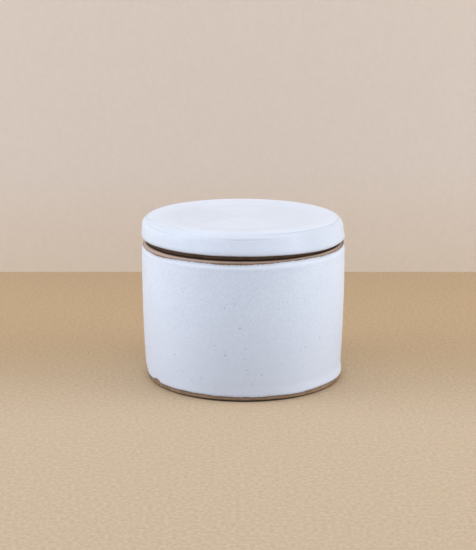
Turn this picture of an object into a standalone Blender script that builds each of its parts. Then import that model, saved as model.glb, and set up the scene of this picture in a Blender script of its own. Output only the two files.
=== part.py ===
"""Butter keeper: a round stoneware crock whose flat lid carries a cup that hangs inside it.

Butter is packed into the cup, which hangs mouth down over a little water in the crock. The lid
rests on the crock's bare rim and lifts straight off. The clay shows as a brown band at the foot
and at the seam, where the white glaze was wiped away. The crock stands on the origin's plane,
with +Z up its axis, and all lengths are in metres.
"""

import math

import bmesh
import bpy
from mathutils import Vector

# Mesh fineness
SEGMENTS = 48
ARC_STEPS = 4
SHOULDER_STEPS = 6
WALL_STEPS = 5
MERGE_DISTANCE = 0.000003
SHARP_ANGLE = math.radians(40.0)

# Glaze: a coat of glass over the clay, and the gap that keeps the two solids apart
GLAZE_THICKNESS = 0.0005
GLAZE_GAP = 0.0003

# Crock: heights are from the table, radii are from the axis
BODY_RADIUS = 0.0570
BELLY_HEIGHT = 0.0580
FOOT_TAPER = 0.0018
RIM_HEIGHT = 0.0770
CROCK_WALL = 0.0052
CROCK_FLOOR = 0.0060
FLOOR_FILLET = 0.0080
RIM_ROUND = 0.0010
RIM_BAND = 0.0012
RIM_INNER_BEVEL = 0.0006
RIM_INNER_BAND = 0.0014
FOOT_BAND = 0.0024
FOOT_BEVEL = 0.0007
FOOT_RING = 0.0080
FOOT_RECESS = 0.0012

# Lid: heights are from its seat. It is a little narrower than the belly and narrows upward
SEAT_GAP = 0.0003
LID_HEIGHT = 0.0147
LID_INSET = 0.0004
LID_TAPER = 0.0005
LID_DISC = 0.0074
LIP_REACH = 0.0021
LIP_TURN = 0.0021
LIP_HEIGHT = 0.0044
LIP_GLAZE_ANGLE = 60.0
NECK_TAPER = 0.0003
SHOULDER_REACH = 0.0042
SHOULDER_HEIGHT = 0.0055
DISH_DEPTH = 0.0010
DISH_SLOPE = 0.0130

# Low step under the lid that keeps it centred in the crock's glazed mouth
STEP_CLEARANCE = 0.0008
STEP_DEPTH = 0.0022
STEP_WALL = 0.0045
STEP_FILLET = 0.0025
STEP_BAND = 0.0008

# Butter cup: it hangs under the lid, clear of the crock's wall and floor
WATER_GAP = 0.0095
WATER_DEPTH = 0.0160
CUP_WALL = 0.0045
CUP_TOP = 0.0045
CUP_FLARE = 0.0008
CUP_FILLET = 0.0060
JOIN_GAP = 0.0003

# Finishes: colour, roughness and the weight of the clear coat
CLAY_FINISH = ((0.29, 0.185, 0.122), 0.75, 0.0)
GLAZE_FINISH = ((0.79, 0.805, 0.83), 0.34, 0.35)

# Worked out from the sizes above
COAT = GLAZE_GAP + GLAZE_THICKNESS
CLAY_RADIUS = BODY_RADIUS - COAT
SEAT_HEIGHT = RIM_HEIGHT + SEAT_GAP
FLOOR_HEIGHT = FOOT_RECESS + CROCK_FLOOR


def between(start, end, steps):
    """Evenly spaced values from start to end, both included."""
    return [start + (end - start) * i / steps for i in range(steps + 1)]


def arc(centre, reach, height, start, end, steps=ARC_STEPS):
    """Points on an upright ellipse about centre, from start to end in degrees from +r to +z."""
    angles = [math.radians(a) for a in between(start, end, steps)]
    return [(centre[0] + reach * math.cos(a), centre[1] + height * math.sin(a)) for a in angles]


def beside(line, distance):
    """The line moved to its left by distance, with mitred corners."""
    points = [Vector(p) for p in line]
    normals = []
    for a, b in zip(points, points[1:]):
        along = (b - a).normalized()
        normals.append(Vector((-along.y, along.x)))
    moved = []
    for i, point in enumerate(points):
        before = normals[max(i - 1, 0)]
        after = normals[min(i, len(normals) - 1)]
        mitre = (before + after).normalized()
        moved.append(point + mitre * (distance / mitre.dot(after)))
    return moved


def coat_section(line, side):
    """Section of a glaze coat over a clay line, to its left where side is 1 and right where it is -1.

    A line that starts on the axis gives a section that is open there. Any other end of the coat
    is drawn out to a blunt point, as melted glaze ends.
    """
    face = beside(line, side * COAT)
    back = beside(line, side * GLAZE_GAP)

    def tip(end, previous):
        """Point of the coat's edge, half its thickness past the clay line's end."""
        onward = (Vector(line[end]) - Vector(line[previous])).normalized()
        return (face[end] + back[end]) / 2 + onward * (GLAZE_THICKNESS / 2)

    section = face + [tip(-1, -2)] + back[::-1]
    if line[0][0] > 0.0:
        section.append(tip(0, 1))
    return section


def wall_radius(height):
    """Radius of the crock's outer clay wall: widest at the belly, a little narrower at the foot."""
    return CLAY_RADIUS - FOOT_TAPER * ((height - BELLY_HEIGHT) / BELLY_HEIGHT) ** 2


def mouth_radius():
    """Radius of the crock's mouth, at the bare clay just inside its rim."""
    return wall_radius(RIM_HEIGHT) - CROCK_WALL


def crock_outer_line():
    """Glazed part of the crock's outer wall, from the bare rim down to the bare foot."""
    return [(wall_radius(z), z) for z in between(RIM_HEIGHT - RIM_BAND, FOOT_BAND, WALL_STEPS)]


def crock_inner_line():
    """Glazed inside of the crock, from the middle of the floor up to just below the rim."""
    start = FLOOR_HEIGHT + FLOOR_FILLET
    heights = between(start, RIM_HEIGHT - RIM_INNER_BAND, WALL_STEPS)
    wall = [(wall_radius(z) - CROCK_WALL, z) for z in heights]
    corner = (wall[0][0] - FLOOR_FILLET, start)
    return [(0.0, FLOOR_HEIGHT)] + arc(corner, FLOOR_FILLET, FLOOR_FILLET, -90.0, 0.0)[:-1] + wall


def crock_section():
    """Section of the crock's clay, from the middle of its base out, up, in and down to its floor."""
    foot_radius = wall_radius(FOOT_BEVEL)
    ring_inside = foot_radius - FOOT_RING
    base = [
        (0.0, FOOT_RECESS),
        (ring_inside - FOOT_RECESS, FOOT_RECESS),
        (ring_inside, 0.0),
        (foot_radius - FOOT_BEVEL, 0.0),
        (foot_radius, FOOT_BEVEL),
    ]
    corner = (wall_radius(RIM_HEIGHT - RIM_ROUND) - RIM_ROUND, RIM_HEIGHT - RIM_ROUND)
    rim = arc(corner, RIM_ROUND, RIM_ROUND, 0.0, 90.0)
    bevel = [
        (mouth_radius() + RIM_INNER_BEVEL, RIM_HEIGHT),
        (mouth_radius(), RIM_HEIGHT - RIM_INNER_BEVEL),
    ]
    return base + crock_outer_line()[::-1] + rim + bevel + crock_inner_line()[::-1]


def lip_arc(start, end):
    """Part of the rounded edge where the lid's side turns in over its bare neck."""
    centre = (CLAY_RADIUS - LID_INSET - LIP_REACH, LIP_HEIGHT)
    return arc(centre, LIP_REACH, LIP_TURN, start, end)


def lid_outer_line():
    """Glazed part of the lid, from the middle of its top out and down round its lip."""
    top = LID_HEIGHT - COAT
    crest = CLAY_RADIUS - LID_INSET - LID_TAPER - SHOULDER_REACH
    dish = [(0.0, top - DISH_DEPTH), (crest - DISH_SLOPE, top - DISH_DEPTH)]
    centre = (crest, top - SHOULDER_HEIGHT)
    shoulder = arc(centre, SHOULDER_REACH, SHOULDER_HEIGHT, 90.0, 0.0, SHOULDER_STEPS)
    return dish + shoulder + lip_arc(0.0, -LIP_GLAZE_ANGLE)[::2]


def ceiling_height():
    """Height of the hollow under the lid, above its seat."""
    return LID_HEIGHT - COAT - DISH_DEPTH - LID_DISC


def step_radii():
    """Outer and inner radius of the step under the lid."""
    outer = mouth_radius() - COAT - STEP_CLEARANCE
    return outer, outer - STEP_WALL


def lid_section():
    """Section of the lid's clay, from the middle of its top out, down and in to its underside."""
    lip = lip_arc(-LIP_GLAZE_ANGLE, -90.0)[2::2]
    seat_edge = (lip[-1][0] - NECK_TAPER, 0.0)
    outer, inner = step_radii()
    step = [(outer, 0.0), (outer, -STEP_DEPTH), (inner, -STEP_DEPTH)]
    corner = (inner - STEP_FILLET, ceiling_height() - STEP_FILLET)
    hollow = arc(corner, STEP_FILLET, STEP_FILLET, 0.0, 90.0) + [(0.0, ceiling_height())]
    return lid_outer_line() + lip + [seat_edge] + step + hollow


def cup_radii():
    """Outer radius of the cup's clay at its joined end and at its mouth."""
    mouth = mouth_radius() - COAT - WATER_GAP - COAT
    return mouth - CUP_FLARE, mouth


def cup_line():
    """Outside of the cup's clay that the glaze covers, from the middle of its inside to its joint."""
    top = ceiling_height() - JOIN_GAP
    mouth = FLOOR_HEIGHT + COAT + WATER_DEPTH + COAT - SEAT_HEIGHT
    joined, open_end = cup_radii()
    edge = CUP_WALL / 2
    inside = top - CUP_TOP
    corner = (joined - CUP_WALL - CUP_FILLET, inside - CUP_FILLET)
    rounding = arc(corner, CUP_FILLET, CUP_FILLET, 90.0, 0.0)
    mouth_round = arc((open_end - edge, mouth + edge), edge, edge, -180.0, 0.0, 2 * ARC_STEPS)
    return [(0.0, inside)] + rounding + mouth_round + [(joined, top)]


def cup_section():
    """Section of the cup's clay, which is closed by its flat joint with the lid."""
    return cup_line() + [(0.0, cup_line()[-1][1])]


def underside_line():
    """Glazed part of the cup and of the hollow round it, from inside the cup to the step."""
    _, inner = step_radii()
    ceiling = ceiling_height()
    joint = [(cup_radii()[0], ceiling)]
    hollow = arc((inner - STEP_FILLET, ceiling - STEP_FILLET), STEP_FILLET, STEP_FILLET, 90.0, 0.0)
    return cup_line()[:-1] + joint + hollow + [(inner, STEP_BAND - STEP_DEPTH)]


def material(name, colour, roughness, coat):
    """A Principled material with a clear coat of the given weight."""
    made = bpy.data.materials.new(name)
    made.use_nodes = True
    shader = made.node_tree.nodes["Principled BSDF"]
    shader.inputs["Base Color"].default_value = (*colour, 1.0)
    shader.inputs["Roughness"].default_value = roughness
    shader.inputs["Metallic"].default_value = 0.0
    shader.inputs["Coat Weight"].default_value = coat
    made.diffuse_color = (*colour, 1.0)
    return made


def turned(name, section, finish, parent=None):
    """A named solid turned about Z from a section that is closed by the axis, or in itself."""
    bm = bmesh.new()
    verts = [bm.verts.new((r, 0.0, z)) for r, z in section]
    edges = [bm.edges.new(pair) for pair in zip(verts, verts[1:])]
    if section[0][0] > 0.0:
        edges.append(bm.edges.new((verts[-1], verts[0])))
    bmesh.ops.spin(
        bm,
        geom=verts + edges,
        cent=(0.0, 0.0, 0.0),
        axis=(0.0, 0.0, 1.0),
        angle=2 * math.pi,
        steps=SEGMENTS,
        use_merge=True,
    )
    bmesh.ops.remove_doubles(bm, verts=bm.verts, dist=MERGE_DISTANCE)
    bmesh.ops.recalc_face_normals(bm, faces=bm.faces)
    mesh = bpy.data.meshes.new(name)
    bm.to_mesh(mesh)
    bm.free()
    mesh.shade_smooth()
    mesh.set_sharp_from_angle(angle=SHARP_ANGLE)
    mesh.materials.append(finish)
    made = bpy.data.objects.new(name, mesh)
    made.parent = parent
    bpy.context.scene.collection.objects.link(made)


def clear_scene():
    """Removes whatever the open file holds."""
    for item in list(bpy.data.objects):
        bpy.data.objects.remove(item)


def build():
    """Makes the crock, and the lid with its cup under an empty that lifts along the axis."""
    clear_scene()
    clay = material("bare_stoneware", *CLAY_FINISH)
    glaze = material("white_glaze", *GLAZE_FINISH)
    turned("crock", crock_section(), clay)
    turned("crock_outer_glaze", coat_section(crock_outer_line(), 1), glaze)
    turned("crock_inner_glaze", coat_section(crock_inner_line(), 1), glaze)
    lift = bpy.data.objects.new("lid_lift", None)
    lift.location = (0.0, 0.0, SEAT_HEIGHT)
    bpy.context.scene.collection.objects.link(lift)
    turned("lid", lid_section(), clay, lift)
    turned("lid_glaze", coat_section(lid_outer_line(), 1), glaze, lift)
    turned("butter_cup", cup_section(), clay, lift)
    turned("underside_glaze", coat_section(underside_line(), -1), glaze, lift)


build()
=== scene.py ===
"""Looks of the butter keeper: white satin glaze over brown stoneware, seen as in the photograph.

Every piece is turned about the axis from a section and rides on the body of the node it stands
for. Sizes are in millimetres and angles in degrees, unless a name says otherwise. An azimuth is
measured from the front, towards the right. The clay is modelled whole, and each glaze coat lies
over it with its own uneven edge.
"""

import math

import bmesh
import bpy
import numpy as np
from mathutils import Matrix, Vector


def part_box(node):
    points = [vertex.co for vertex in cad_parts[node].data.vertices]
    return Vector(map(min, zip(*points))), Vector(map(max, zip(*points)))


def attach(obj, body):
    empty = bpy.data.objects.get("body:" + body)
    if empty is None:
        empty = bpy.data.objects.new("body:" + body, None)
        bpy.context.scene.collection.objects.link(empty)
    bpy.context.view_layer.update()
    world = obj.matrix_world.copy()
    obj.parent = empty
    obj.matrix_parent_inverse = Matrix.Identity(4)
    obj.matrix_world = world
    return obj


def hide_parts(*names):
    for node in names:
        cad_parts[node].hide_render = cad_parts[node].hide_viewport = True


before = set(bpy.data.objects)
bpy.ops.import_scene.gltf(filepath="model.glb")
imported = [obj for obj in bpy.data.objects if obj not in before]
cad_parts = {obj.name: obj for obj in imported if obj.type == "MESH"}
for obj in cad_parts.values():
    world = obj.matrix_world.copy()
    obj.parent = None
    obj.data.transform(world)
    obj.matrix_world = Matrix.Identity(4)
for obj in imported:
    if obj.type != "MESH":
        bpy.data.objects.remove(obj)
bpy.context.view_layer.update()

MM = 0.001
TAU = 2 * math.pi
X, Y, Z = 0, 1, 2
ON_AXIS = 1e-6


def highest(node, axis):
    """Highest coordinate of a node of the frame along an axis, in millimetres."""
    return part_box(node)[1][axis] / MM


def lowest(node, axis):
    """Lowest coordinate of a node of the frame along an axis, in millimetres."""
    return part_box(node)[0][axis] / MM


# Sizes read from the frame, some of them less a margin that keeps the looks inside it
SIDE_MARGIN = 0.1
TOP_MARGIN = 0.2
SEAT_GAP = 0.3
BODY_RADIUS = highest("crock_outer_glaze", X) - SIDE_MARGIN
RIM_HEIGHT = highest("crock", Z)
LID_TOP = highest("lid_glaze", Z) - TOP_MARGIN
SEAT_HEIGHT = RIM_HEIGHT + SEAT_GAP
STEP_BOTTOM = lowest("lid", Z)
CUP_MOUTH = lowest("butter_cup", Z)
CUP_RADIUS = highest("butter_cup", X)

# Mesh fineness
SEGMENTS = 540
SPACING = 0.9
FINE_SPACING = 0.16
OUTSIDE_SPACING = 0.25
INSIDE_SPACING = 0.5
EDGE_STEPS = 8
FILLET_TURN = math.radians(6.0)
OVAL_STEPS = 48
OUTSIDE_WALL_POINTS = 40
INSIDE_WALL_POINTS = 24

# Glaze coat
COAT = 0.42
SKIN = 0.02

# Crock
BELLY_HEIGHT = 58.0
FOOT_TAPER = 1.8
CROCK_WALL = 5.6
FLOOR_HEIGHT = 7.2
FLOOR_FILLET = 8.0
FLOOR_ROUND = 7.6
RIM_RADIUS = 56.0
RIM_NECK = 73.0
NECK_TOP = 76.0
NECK_ROUND = 2.0
RIM_ROUND = 1.4
MOUTH_ROUND = 0.7
MOUTH_DEPTH = 2.0
OUTSIDE_START = 0.6
FOOT_RING = 8.2
FOOT_RECESS = 1.2
FOOT_BEVEL = 0.7
RECESS_ROUND = 0.8
RING_ROUND = 0.4
BEVEL_ROUND = 0.3
CROCK_GLAZE_TOP = 75.8
CROCK_GLAZE_FOOT = 2.2
INNER_GLAZE_TOP = 75.4
INNER_GLAZE_DROP = 0.4

# The crock's foot lies to the right and front, and its rim is a little higher on the right
FOOT_SHIFT = 0.8
FOOT_FORWARD = 0.9
FOOT_SHIFT_HEIGHTS = (9.0, 2.0)
RIM_RISE = 0.3
RIM_RISE_ASIDE = (18.0, 34.0)
RIM_RISE_HEIGHTS = (75.8, 76.8)
RIM_RISE_RADII = (53.8, 55.0)

# Edges of the crock's glaze: height, azimuth and width of each place where they leave their line
RIM_DIPS = [(0.45, -3.0, 15.0), (0.45, -52.0, 14.0)]
RIM_CLIMBS = [(0.42, 28.0, 11.0), (0.8, 90.0, 20.0)]
RIM_TILT = 0.15
FOOT_RISES = [(0.35, -50.0, 25.0), (0.45, 47.0, 11.0)]
NOTCH = [(1.25, -61.0, 4.5)]
NOTCH_CLIFF = (-56.3, -58.6)
RIM_EDGE_WIDTH = 2.6
FOOT_EDGE_WIDTH = 1.6
RIM_FINE_SPAN = (-6.0, 1.0)
FOOT_FINE_SPAN = (0.0, 6.0)

# Rolls of thick glaze on the crock, how far each fades towards the sides, and a dent at the notch
FOOT_ROLL = 0.06
FOOT_ROLL_HEIGHT = 6.5
FOOT_ROLL_WIDTH = 2.2
FOOT_ROLL_FADE = 0.8
FOOT_ROLL_ASIDE = (0.3, 0.65)
RIM_ROLL = 0.12
RIM_ROLL_HEIGHT = CROCK_GLAZE_TOP - 2.8
RIM_ROLL_WIDTH = 1.3
RIM_ROLL_FADE = 0.65
RIM_ROLL_ASIDE = (0.4, 0.75)
DENT = [(0.22, -59.0, 1.8)]
DENT_HEIGHT = 5.8
DENT_WIDTH = 1.4

# Clay under the coats
LID_GLAZE_RADIUS = 56.7
SIDE_RADIUS = BODY_RADIUS - COAT
LID_RADIUS = LID_GLAZE_RADIUS - COAT
RELIEF_ROOM = 0.06

# Lid
LID_TAPER = 0.5
SHOULDER_START = 86.5
CREST_RADIUS = 49.6
DISH_RADIUS = 36.0
DISH_ROUND = 40.0
DISH_BANK = 46.5
BANK_DROP = 0.05
BANK_ROUND = 20.0
DISH_DEPTH = 0.95
LIP_START = 81.7
LIP_REACH = 1.9
LIP_TURN = 2.3
LID_GLAZE_ANGLE = 62.0
LID_EDGE_WIDTH = 1.2
NECK_RADIUS = 53.8
SEAT_ROUND = 0.4
STEP_RADIUS = 49.4
STEP_WALL = 4.5
STEP_TOP_ROUND = 0.3
STEP_ROUND = 0.7
CEILING_HEIGHT = 82.8
CEILING_ROUND = 2.5

# The lid sits a little to the left on the crock and leans that way, and its lip is uneven
LID_OFFSET = 0.23
LID_LEAN = 0.041
LID_TILT = 0.0015
LID_NOD = 0.003
FRONT_LEAN = 0.45
LIP_SWELL = 0.45
LIP_SWELL_HEIGHT = 80.6
LIP_SWELL_WIDTH = 1.1
LIP_SWELL_ASIDE = (0.5, 0.95)
LIP_DROP = 0.5
LIP_DROP_ASIDE = (0.3, 0.8)
LIP_DROP_HEIGHTS = (85.0, 80.5)
LIP_DROP_RADII = (53.9, 55.0)
LIP_GLAZE_TILT = 0.40
LIP_GLAZE_DROP = 0.25
LIP_GLAZE_FRONT_WIDTH = 35.0
LIP_GLAZE_DIPS = [(0.35, 65.0, 25.0)]

# Trimming lines on the lid: height or radius, with the azimuths at which each of them shows
CREASE_HEIGHT = 88.3
CREASE_RISES = [(0.8, -75.0, 22.0)]
CREASE_REACHES = [(1.0, 2.0, 16.0), (0.5, -58.0, 17.0)]
CREASE_WIDTH = 0.24
CREASE_DEPTH = 0.17
DISC_RADIUS = 53.4
DISC_NARROWINGS = [(4.2, -56.0, 16.0)]
DISC_LEAST_REACH = 0.45
DISC_MORE_REACH = 0.55
DISC_AZIMUTH = 48.0
DISC_ASIDE = (0.6, 0.9)
DISC_REACHES = [(0.35, -56.0, 20.0)]
DISC_GAPS = [(0.9, -8.0, 22.0)]
DISC_HEIGHTS = (88.8, 89.6)
DISC_WIDTH = 0.30
DISC_DEPTH = 0.17
CUT_DEPTH = 0.10
CUT_RUN = 0.4
CUT_HEIGHTS = (91.3, 90.0)
CUT_WIDTH = 21.0
RIDGE = [(0.12, -38.0, 26.0)]
RIDGE_HEIGHT = 89.6
RIDGE_WIDTH = 0.45
TRIMMED_RADII = (48.0, 50.0)
DISH_RINGS = 0.010
DISH_RING_SPACING = 5.3
DISH_RING_RADII = (6.0, 20.0)
LID_FINE_REACH = 7.0
LID_FINE_INSET = 2.0

# Painted shade on the lid's glaze, in its trimming lines, dish, shoulder and sides
CREASE_SHADE = 1.0
DISC_SHADE = 0.7
DISH_SHADE = 0.12
DISH_SHADE_RADII = (43.0, 48.0)
DISH_SHADE_HEIGHTS = (88.0, 90.0)
DISH_SHADE_FRONT_WIDTH = 75.0
SHOULDER_SHADE = 0.20
SHOULDER_SHADE_RADII = (49.5, 53.0)
SHOULDER_SHADE_HEIGHTS = (SHOULDER_START, 88.5)
SHOULDER_SHADE_GAPS = [(0.8, -24.0, 11.0), (0.8, 180.0, 70.0)]
FRONT_SHADE = [(0.07, 5.0, 32.0)]
FRONT_SHADE_HEIGHTS = (89.6, 88.2)
# Strength, side (-1 is left), how far towards that side, and heights
SIDE_SHADES = [
    (0.19, -1, (0.50, 0.80), (91.4, 90.2)),
    (0.48, 1, (0.45, 0.68), (91.0, 89.0)),
    (0.20, -1, (0.40, 0.55), (88.5, 83.0)),
]

# Cup
CUP_WALL = 4.5
CUP_TOP = 78.0
CUP_FILLET = 6.0
CUP_FLARE = 0.8
JOIN_GAP = 0.3
JOINT_FILLET = 2.5
HOLLOW_FILLET = 2.4
UNDERSIDE_GLAZE_DROP = 1.0

# Unevenness that throwing and the clay leave. Rings: height, spacing and drift
THROWING_RINGS = [(0.020, 9.1, 1.0), (0.008, 4.3, 1.9)]
THROWING_DRIFT = 0.7
THROWING_TURN = 0.8
# Lumps: height, seed and length
THROWING_LUMPS = [(0.035, 11, 22.0), (0.006, 12, 5.0)]
GRIT_LUMPS = [(0.030, 21, 2.2), (0.030, 22, 9.0)]
LID_LUMPS = [(0.025, 13, 16.0)]
GRIT_HEIGHTS = (LIP_START + 1.0, LIP_START - 0.5)
LUMP_RANGE = (0.7, 1.6)
LUMP_WAVES = 24
WANDER_COUNTS = range(2, 31)
WANDER_FALL = 0.7

# Wander of the glaze edges: seed and size
RIM_WANDER = (31, 0.10)
FOOT_WANDER = (32, 0.12)
INNER_WANDER = (33, 0.15)
LIP_WANDER = (34, 0.08)
UNDERSIDE_WANDER = (35, 0.12)

# Specks of iron that stand out on the front of the crock: azimuth, height and radius
SPECKS = [
    (-10, 52, 0.60), (-2, 41, 0.75), (-16, 31, 0.75), (-10, 26, 0.85), (2, 18, 0.60), (10, 15, 0.65),
    (24, 54, 0.45), (19, 51, 0.55), (47, 31, 0.75), (59, 37, 0.60), (36, 28, 0.60), (68, 11, 0.75),
]
SOFT_SPECKS = [
    (1, 30, 0.9), (1, 24, 0.8), (3, 16, 0.7), (5, 10, 1.0), (-30, 10, 1.1), (-24, 12, 1.0),
    (-36, 14, 0.9), (32, 49, 0.7), (53, 36, 0.8), (33, 26, 0.8), (53, 12, 0.8), (21, 20, 0.8),
    (36, 9, 0.7), (12, 57, 0.8), (-41, 64, 0.7), (44, 59, 0.8), (-29, 29, 0.7), (-38, 39, 0.6),
    (-15, 36, 0.6), (-47, 52, 0.7),
]
SPECK_STRENGTH = 0.47
SOFT_SPECK_STRENGTH = 0.17
MOST_IRON = 0.8

# Scattered specks: spacing, radius and strength
GLAZE_SPECKS = (4.6, 0.56, 0.21)
GLAZE_DUST = (1.9, 0.33, 0.19)
CLAY_GRAINS = (1.6, 0.22, 0.6)
SPECKED_CELLS = (0.35, 1.0)
SPECK_SOFTNESS = (-0.02, 0.04)

# Camera: place, downward tilt, focal length
CAMERA_PLACE = (-2.96, -748.0, 230.3)
CAMERA_TILT = 13.05
CAMERA_LENS = 88.93

# Stage
WALL_DISTANCE = 256.0
FLOOR_COLOUR = (0.585, 0.443, 0.291)
FAR_FLOOR_COLOUR = (0.522, 0.354, 0.196)
BACKDROP_COLOUR = (0.714, 0.585, 0.472)
LOW_BACKDROP_COLOUR = (0.700, 0.544, 0.406)
BOUNCE_COLOUR = (0.60, 0.60, 0.60)
SHEET_REACH = 2600.0
WALL_TOP = 1500.0
FLOOR_FADE = (-100.0, 80.0)
WALL_FADE = (0.0, 90.0)
FLOOR_GRAIN = 2.0
WALL_GRAIN = 3.8
FLOOR_CONTRAST = 0.10
WALL_CONTRAST = 0.015
PAPER_DETAIL = 4.0
PAPER_ROUGHNESS = 0.6
SHEET_ROUGHNESS = 0.9

# Lamps: name, place, width and height, power in watts, colour
LAMPS = [
    ("left_lamp", (-900.0, -60.0, 380.0), (700.0, 900.0), 5.75, (0.89, 0.94, 1.0)),
    ("right_lamp", (897.0, -115.0, 380.0), (700.0, 900.0), 5.35, (0.93, 0.96, 0.98)),
    ("top_lamp", (0.0, -170.0, 1200.0), (900.0, 600.0), 1.9, (1.0, 0.95, 0.88)),
]
LAMP_TARGET = (0.0, 0.0, 50.0)
WORLD_COLOUR = (0.84, 0.885, 1.0)
WORLD_STRENGTH = 0.755

# Glaze and clay colours
GLAZE_COLOUR = (0.752, 0.788, 0.856)
# Darker, greyer glaze low on the pot: painted shade
LOW_SHADED_GLAZE_COLOUR = (0.62, 0.62, 0.66)
# Brown of thin glaze, also the painted shade above the front of the foot
THIN_GLAZE_AND_SHADE_COLOUR = (0.40, 0.34, 0.30)
GLAZE_EDGE_COLOUR = (0.11, 0.078, 0.056)
IRON_COLOUR = (0.13, 0.12, 0.12)
CLAY_COLOUR = (0.29, 0.174, 0.095)
# The rim's lighter clay: partly a haze of glaze, partly a painted highlight
RIM_HAZE_AND_LIGHT_COLOUR = (0.55, 0.40, 0.325)
# A shaded copy of the clay: painted shade in the crevice, at the foot and on the lid's clay
SHADED_CLAY_COLOUR = (0.095, 0.055, 0.029)

# Tones of the glaze, as factors on its colour, and how strongly the darker ones are mixed in
CLOUD_TONES = (1.01, 1.04)
MOTTLE_TONE = 0.86
# Painted shade in the marks that a coat carries
PAINTED_SHADE_TONE = 0.80
# Painted highlight on the crock's roll below its rim
ROLL_HIGHLIGHT_TONE = 1.14
MOTTLE_STRENGTH = 0.18
MIST_STRENGTH = 0.40
WASH_STRENGTH = 0.50
# The lid's glaze is lighter: painted light
LID_PAINTED_LIGHTNESS = 1.062
LID_SPECKLING = 0.45

# Painted light and shade on the glaze, low on the pot, on the crock's roll below its rim and above its
# front foot: heights and distances to the side
LOW_SHADE_HEIGHTS = (75.0, 0.0)
LOW_SHADE_STRENGTH = 0.55
ROLL_HIGHLIGHT_HEIGHTS = (71.5, 73.6)
ROLL_HIGHLIGHT_ASIDE = (20.0, 46.0)
ROLL_HIGHLIGHT_STRENGTHS = (0.58, 0.05)
FOOT_SHADE_HEIGHTS = (13.0, 3.0)
FOOT_SHADE_ASIDE = (36.0, 10.0)
FOOT_SHADE_STRENGTH = 0.16

# Distances from the glaze's edge, for its brown wash and its dark edge, where thin glaze breaks dark;
# low down the dark edge is wider, as painted shadow under the coat's edge
WASH_SPAN = (1.8, 0.3)
EDGE_SPAN = (0.40, 0.14)
EDGE_FRAY = 0.12
LOW_EDGE_SHADOW_HEIGHTS = (12.0, 6.0)
LOW_EDGE_SHADOW_SHIFT = 0.25

# Where the crock's clay is painted lighter or darker: a painted highlight with a haze of glaze on its
# rim, painted shade in the crevice and at its foot; then the clay's own tones
RIM_HAZE_AND_LIGHT_ASIDE = (10.0, 22.0)
RIM_HAZE_AND_LIGHT_LIFT = 0.5
RIM_HAZE_AND_LIGHT_HEIGHT = 0.6
RIM_HAZE_AND_LIGHT_ACROSS = (45.0, -45.0)
RIM_HAZE_AND_LIGHT_STRENGTHS = (0.55, 1.0)
# Painted shade in the crevice under the lid
RIM_TOP_DEPTHS = (1.2, 0.6)
CREVICE_ASIDE = (40.0, 54.0)
CREVICE_INWARD = 0.9
CREVICE_DEPTHS = (0.3, 1.1)
# Painted contact shadow round the foot's edge
CONTACT_SHADE_ASIDE = (14.0, 40.0)
CONTACT_SHADE_LIFTS = (-0.35, 0.10)
CONTACT_SHADE_HEIGHTS = (1.2, 0.4)
CONTACT_SHADE_STRENGTH = 0.96
CONTACT_SHADE_TONE = 0.22
PATCH_TONES = (0.80, 1.20)
GRIT_TONE = 1.5
GRIT_STRENGTH = 0.35
GRAIN_TONE = 0.25

# Noise in the materials: one over the size of a lump in metres, detail and roughness
CLOUD_NOISE = (60.0, 3.0, 0.5)
SHEEN_NOISE = (150.0, 2.0, 0.5)
PEEL_NOISE = (330.0, 3.0, 0.5)
MOTTLE_NOISE = (420.0, 2.0, 0.5)
MIST_NOISE = (850.0, 2.0, 0.6)
FRAY_NOISE = (900.0, 2.0, 0.5)
PATCH_NOISE = (240.0, 4.0, 0.6)
ROUGH_NOISE = (1100.0, 4.0, 0.65)
GRIT_NOISE = (1500.0, 2.0, 0.5)

# The part of a noise's range over which something changes
MOST_OF_NOISE = (0.3, 0.7)
MIDDLE_OF_NOISE = (0.35, 0.65)
MOTTLE_RANGE = (0.45, 0.75)
GRIT_RANGE = (0.52, 0.75)

# Sheen and bump
GLAZE_ROUGHNESS = (0.36, 0.46)
CLAY_ROUGHNESS = (0.74, 0.88)
GLOSS_WEIGHT = 0.15
GLOSS_ROUGHNESS = 0.35
PEEL_STRENGTH = 0.10
ROUGH_STRENGTH = 0.5
BUMP_DEPTH = 0.4

ANGLES = np.arange(SEGMENTS) * TAU / SEGMENTS


def unit(vector):
    """The vector at length one."""
    return vector / np.linalg.norm(vector)


def ramp(value, start, end):
    """Smooth step from 0 at start to 1 at end, which may be the lower of the two."""
    t = np.clip((value - start) / (end - start), 0.0, 1.0)
    return t * t * (3.0 - 2.0 * t)


def bell(value, centre, width):
    """1 at the centre, falling away on both sides."""
    return np.exp(-(((value - centre) / width) ** 2))


def azimuths(angle, centre=0.0):
    """Azimuths from a centre, between -180 and 180 degrees."""
    return (np.degrees(angle) - centre + 180.0) % 360.0 - 180.0


def azimuth_bell(angle, azimuth, width):
    """1 at an azimuth, falling away on both sides round the pot."""
    return np.exp(-((azimuths(angle, azimuth) / width) ** 2))


def azimuth_bells(angle, bells):
    """Sum of bells round the pot, each given as its height, azimuth and width."""
    return sum(height * azimuth_bell(angle, azimuth, width) for height, azimuth, width in bells)


def wander(angle, seed, size):
    """A smooth uneven line round the pot, about size from its mean."""
    rng = np.random.default_rng(seed)
    total = np.zeros_like(angle)
    power = 0.0
    for count in WANDER_COUNTS:
        weight = 1.0 / count ** WANDER_FALL
        total = total + weight * np.sin(count * angle + rng.uniform(0.0, TAU))
        power += weight ** 2 / 2
    return total * size / math.sqrt(power)


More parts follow.
